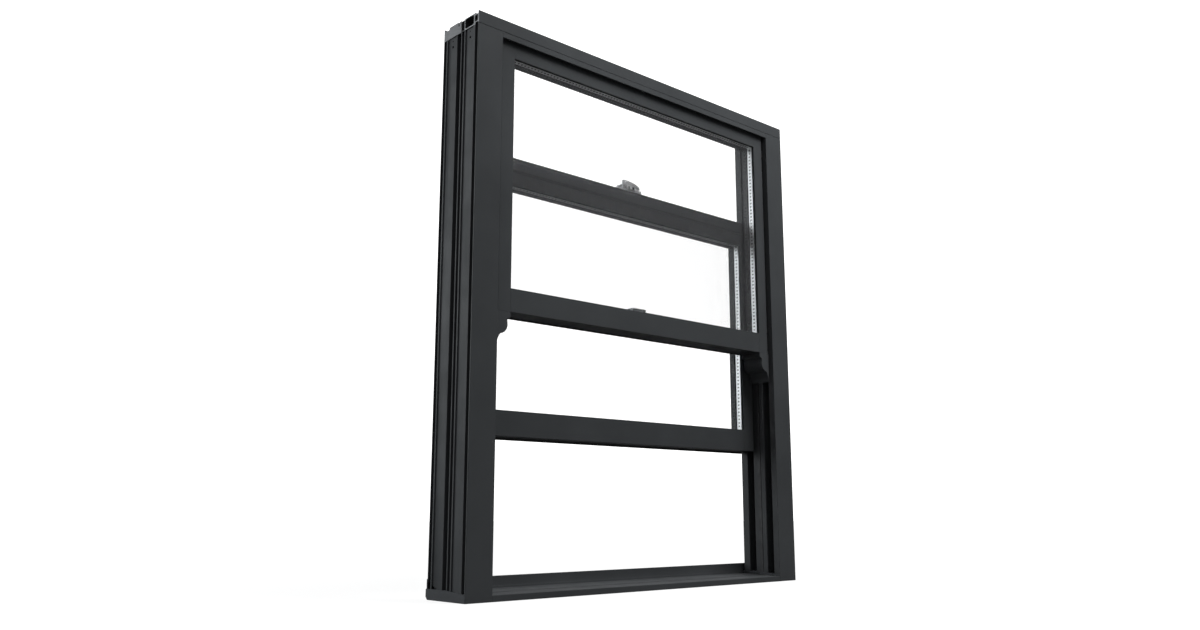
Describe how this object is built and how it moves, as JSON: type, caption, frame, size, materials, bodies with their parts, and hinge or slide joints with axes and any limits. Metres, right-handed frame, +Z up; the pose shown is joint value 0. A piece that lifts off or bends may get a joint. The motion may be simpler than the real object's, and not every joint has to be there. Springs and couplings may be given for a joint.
{
  "type": "vertical sliding sash window",
  "caption": "Double-hung aluminium sash window in its frame: glazed sliding sashes, run-through horns, balances in the jambs and a cam fastener.",
  "frame": {"origin": "centre of the window's bounding box on the plane of the sill's underside", "axes": "+X across the window, to the right seen from outside; +Y from the outside face to the room; +Z up"},
  "size_m": [1.052, 0.14, 1.25],
  "materials": {
    "anthracite_coat": "matt fine-textured powder coat, anthracite grey",
    "end_plate": "matt powder coat",
    "mill_plate": "bare sheet",
    "polyamide": "glass-filled polyamide, matt",
    "balance_tube": "extruded uPVC tube",
    "balance_rod": "drawn steel",
    "zinc_screw": "zinc plated",
    "rubber": "EPDM",
    "gasket": "EPDM, satin",
    "edge_seal": "polysulphide",
    "spacer_bar": "bright mill aluminium, perforated",
    "clear_glass": "clear float glass",
    "satin_chrome": "satin chrome",
    "cast_keeper": "die cast, silver grey",
    "nylon": "black nylon",
    "pile": "woven polypropylene pile"
  },
  "bodies": {
    "frame": {"head_outer": "anthracite_coat", "head_inner": "anthracite_coat", "head_caps": "mill_plate", "head_break": "polyamide", "head_trim": "anthracite_coat", "jamb_left_outer": "anthracite_coat", "jamb_left_inner": "anthracite_coat", "jamb_left_break": "polyamide", "jamb_right_outer": "anthracite_coat", "jamb_right_inner": "anthracite_coat", "jamb_right_break": "polyamide", "sill_outer": "anthracite_coat", "sill_inner": "anthracite_coat", "sill_break": "polyamide", "sill_end_left": "end_plate", "sill_end_right": "end_plate", "upper_balance_tubes": "balance_tube", "lower_balance_tubes": "balance_tube", "tube_screws": "zinc_screw", "head_buffers": "rubber"},
    "upper_sash": {"upper_top_rail": "anthracite_coat", "upper_meeting_rail": "anthracite_coat", "upper_stile_left": "anthracite_coat", "upper_stile_right": "anthracite_coat", "upper_pane_outer": "clear_glass", "upper_pane_inner": "clear_glass", "upper_spacer": "spacer_bar", "upper_edge_seal": "edge_seal", "upper_gasket_outer": "gasket", "upper_gasket_inner": "gasket", "upper_bead_top": "anthracite_coat", "upper_beads_upright": "anthracite_coat", "horn_left": "anthracite_coat", "horn_right": "anthracite_coat", "keeper": "cast_keeper", "keeper_screws": "zinc_screw", "upper_guides": "nylon", "upper_balance_rods": "balance_rod", "upper_piles": "pile"},
    "lower_sash": {"lower_meeting_rail": "anthracite_coat", "lower_bottom_rail": "anthracite_coat", "lower_stile_left": "anthracite_coat", "lower_stile_right": "anthracite_coat", "lower_pane_outer": "clear_glass", "lower_pane_inner": "clear_glass", "lower_spacer": "spacer_bar", "lower_edge_seal": "edge_seal", "lower_gasket_outer": "gasket", "lower_gasket_inner": "gasket", "lower_beads_level": "anthracite_coat", "lower_beads_upright": "anthracite_coat", "fastener_base": "satin_chrome", "fastener_screws": "zinc_screw", "sash_lifts": "anthracite_coat", "sill_seal": "rubber", "lower_guides": "nylon", "lower_balance_rods": "balance_rod", "lower_piles": "pile", "meeting_pile": "pile"},
    "fastener_lever": {"cam_lever": "satin_chrome"}
  },
  "joints": [
    {"name": "upper_sash_slide", "type": "slide", "parent": "frame", "child": "upper_sash", "axis": [0, 0, 1], "range_m": [-0.48, 0]},
    {"name": "lower_sash_slide", "type": "slide", "parent": "frame", "child": "lower_sash", "axis": [0, 0, 1], "range_m": [-0.316, 0.18]},
    {"name": "fastener_turn", "type": "hinge", "parent": "lower_sash", "child": "fastener_lever", "pos_m": [-0.007, 0.022, 0.969], "axis": [0, 0, 1], "range_deg": [0, 90]}
  ]
}
